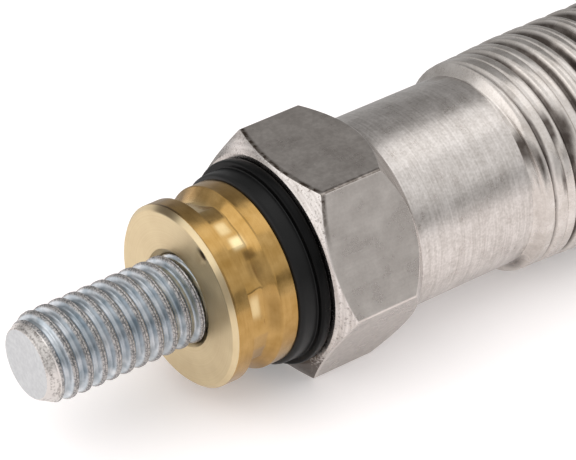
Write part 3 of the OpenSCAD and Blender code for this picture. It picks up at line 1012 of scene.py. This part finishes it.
for name, material in inside.items():
    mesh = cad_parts[name].data
    mesh.materials.clear()
    mesh.materials.append(material)
print("finished", len(inside), "inner pieces")


# studio: pale floor, white all round, soft lamps and a few grey cards that shape the reflections

studio = {
    "floorSize": 3000,
    "paper": ("#f3eeee", "#f5f1f0"),
    "fibre": 40,
    "floorGlow": 0.22,
    "horizonLight": 0.5,    # behind the plug
    "ceilingLight": 1.05,
    "frontLift": 0.25,      # how much more light comes from the front than from behind
}


def sheet(name, wide, tall, z=0):
    x, y = wide / 2 * mm, tall / 2 * mm
    mesh = bpy.data.meshes.new(name)
    mesh.from_pydata([(-x, -y, z), (x, -y, z), (x, y, z), (-x, y, z)], [], [(0, 1, 2, 3)])
    return newObject(name, mesh)


def buildFloor():
    floor = sheet("floor", studio["floorSize"], studio["floorSize"], cadBox[0].z)
    # white paper: soft and matt, lifted to the photo's white for the eye and for reflections
    material, tree, shader, place = newMaterial("white_paper_matt")
    fibre = addNode(tree, "ShaderNodeTexNoise", {"Scale": 1 / (studio["fibre"] * mm), "Detail": 2},
                    {"Vector": place})
    colour = twoTones(tree, fibre, 0, 1, studio["paper"])
    path = addNode(tree, "ShaderNodeLightPath", {})
    seen = addNode(tree, "ShaderNodeMath", {"operation": "ADD"},
                   {0: path.outputs["Is Camera Ray"], 1: path.outputs["Is Glossy Ray"]})
    allSeen = addNode(tree, "ShaderNodeMath", {"operation": "ADD", "use_clamp": True},
                      {0: seen, 1: path.outputs["Is Transmission Ray"]})
    glow = addNode(tree, "ShaderNodeMath", {"operation": "MULTIPLY", 1: studio["floorGlow"]},
                   {0: allSeen})
    tree.links.new(colour.outputs[2], shader.inputs["Base Color"])
    shader.inputs["Roughness"].default_value = 0.9
    shader.inputs["Specular IOR Level"].default_value = 0
    shader.inputs["Emission Color"].default_value = (1, 1, 1, 1)
    tree.links.new(glow.outputs["Value"], shader.inputs["Emission Strength"])
    floor.data.materials.append(material)


def buildWorld():
    # a white studio that is brighter overhead than at eye level
    world = bpy.data.worlds.new("studio")
    bpy.context.scene.world = world
    world.use_nodes = True
    tree = world.node_tree
    around = addNode(tree, "ShaderNodeTexCoord", {})
    apart = addNode(tree, "ShaderNodeSeparateXYZ", {}, {"Vector": around.outputs["Generated"]})
    lifted = addNode(tree, "ShaderNodeMath", {"operation": "MULTIPLY_ADD", 1: -studio["frontLift"]},
                     {0: apart.outputs["Y"], 2: apart.outputs["Z"]})
    strength = addNode(tree, "ShaderNodeMapRange",
                       {"interpolation_type": "SMOOTHSTEP", "From Min": -0.1, "From Max": 0.95,
                        "To Min": studio["horizonLight"], "To Max": studio["ceilingLight"]},
                       {"Value": lifted})
    tree.links.new(strength.outputs["Result"], tree.nodes["Background"].inputs["Strength"])
    tree.nodes["Background"].inputs["Color"].default_value = linear("#ffffff")


# lamps and cards stand round the hexagon: turn in degrees from -Y towards +X, height in degrees too
lamps = {
    "overhead": {"turn": 100, "height": 62, "distance": 420, "wide": 260, "tall": 110, "watts": 0.06},
    "left": {"turn": -105, "height": 24, "distance": 400, "wide": 370, "tall": 380, "watts": 0.42},
}
floorLamp = {"turn": -90, "height": 45, "distance": 600, "wide": 500, "tall": 500, "watts": 1.5}
cards = {
    "behind": {"turn": 145, "height": 25, "distance": 300, "wide": 260, "tall": 310, "grey": 0.34},
    "stripe": {"turn": 31, "height": 15, "distance": 300, "wide": 300, "tall": 52, "grey": 0.4},
    # darkens the upper outline, as the photo has it; it starts beside the nut
    "low": {"turn": 180, "height": 0, "distance": 12, "right": -77, "wide": 160, "tall": 9.8, "grey": 0.48},
}


def stand(obj, turn, height, distance, roll=0, right=0, up=0):
    # places a lamp, card or camera round the hexagon, looking back at it
    a, e, tip = (math.radians(angle) for angle in (turn, height, roll))
    back = Vector((math.sin(a) * math.cos(e), -math.cos(a) * math.cos(e), math.sin(e)))
    level = Vector((0, 0, 1)).cross(back).normalized()
    plumb = back.cross(level)
    aside = level * math.cos(tip) + plumb * math.sin(tip)
    above = plumb * math.cos(tip) - level * math.sin(tip)
    place = Vector((hexX, 0, 0)) + aside * right + above * up + back * distance
    obj.matrix_world = Matrix.Translation(place * mm) @ Matrix((aside, above, back)).transposed().to_4x4()


def buildLights():
    for name, p in {**lamps, "floor": floorLamp}.items():
        data = bpy.data.lights.new(name, "AREA")
        data.shape = "RECTANGLE"
        data.size = p["wide"] * mm
        data.size_y = p["tall"] * mm
        data.energy = p["watts"]
        lamp = newObject(name, data)
        stand(lamp, p["turn"], p["height"], p["distance"])
        # one lamp lights the paper, the others only shine in the metal
        lamp.visible_diffuse = name == "floor"
        lamp.visible_glossy = name != "floor"
    for name, p in cards.items():
        card = sheet(name + "_card", p["wide"], p["tall"])
        stand(card, p["turn"], p["height"], p["distance"], right=p.get("right", 0))
        material, tree, shader, _ = newMaterial("grey_card_" + name)
        tree.nodes.remove(shader)
        glow = addNode(tree, "ShaderNodeEmission", {"Color": (p["grey"], p["grey"], p["grey"], 1)})
        tree.links.new(glow.outputs["Emission"], tree.nodes["Material Output"].inputs["Surface"])
        card.data.materials.append(material)
        card.visible_camera = False
        card.visible_diffuse = False
        card.visible_shadow = False
        card.visible_transmission = False


# camera, as the photo was taken
photo = {
    "turn": -38.146,
    "height": 37.222,
    "roll": 1.956,
    "distance": 150,
    "right": 0.889,         # how far the picture's middle is from the hexagon's front
    "up": 1.232,
    "focal": 3547.4,        # in pixels of the 576 wide frame
    "width": 576,
    "sensor": 36,
    "near": 10,             # nothing closer than this is drawn
}


def buildCamera():
    p = photo
    data = bpy.data.cameras.new("photo")
    data.sensor_width = p["sensor"]
    data.lens = p["focal"] * p["sensor"] / p["width"]
    data.clip_start = p["near"] * mm
    camera = newObject("photo", data)
    stand(camera, p["turn"], p["height"], p["distance"], p["roll"], p["right"], p["up"])
    bpy.context.scene.camera = camera


buildFloor()
buildWorld()
buildLights()
buildCamera()
bpy.context.scene.view_settings.view_transform = "Standard"
print("studio ready")
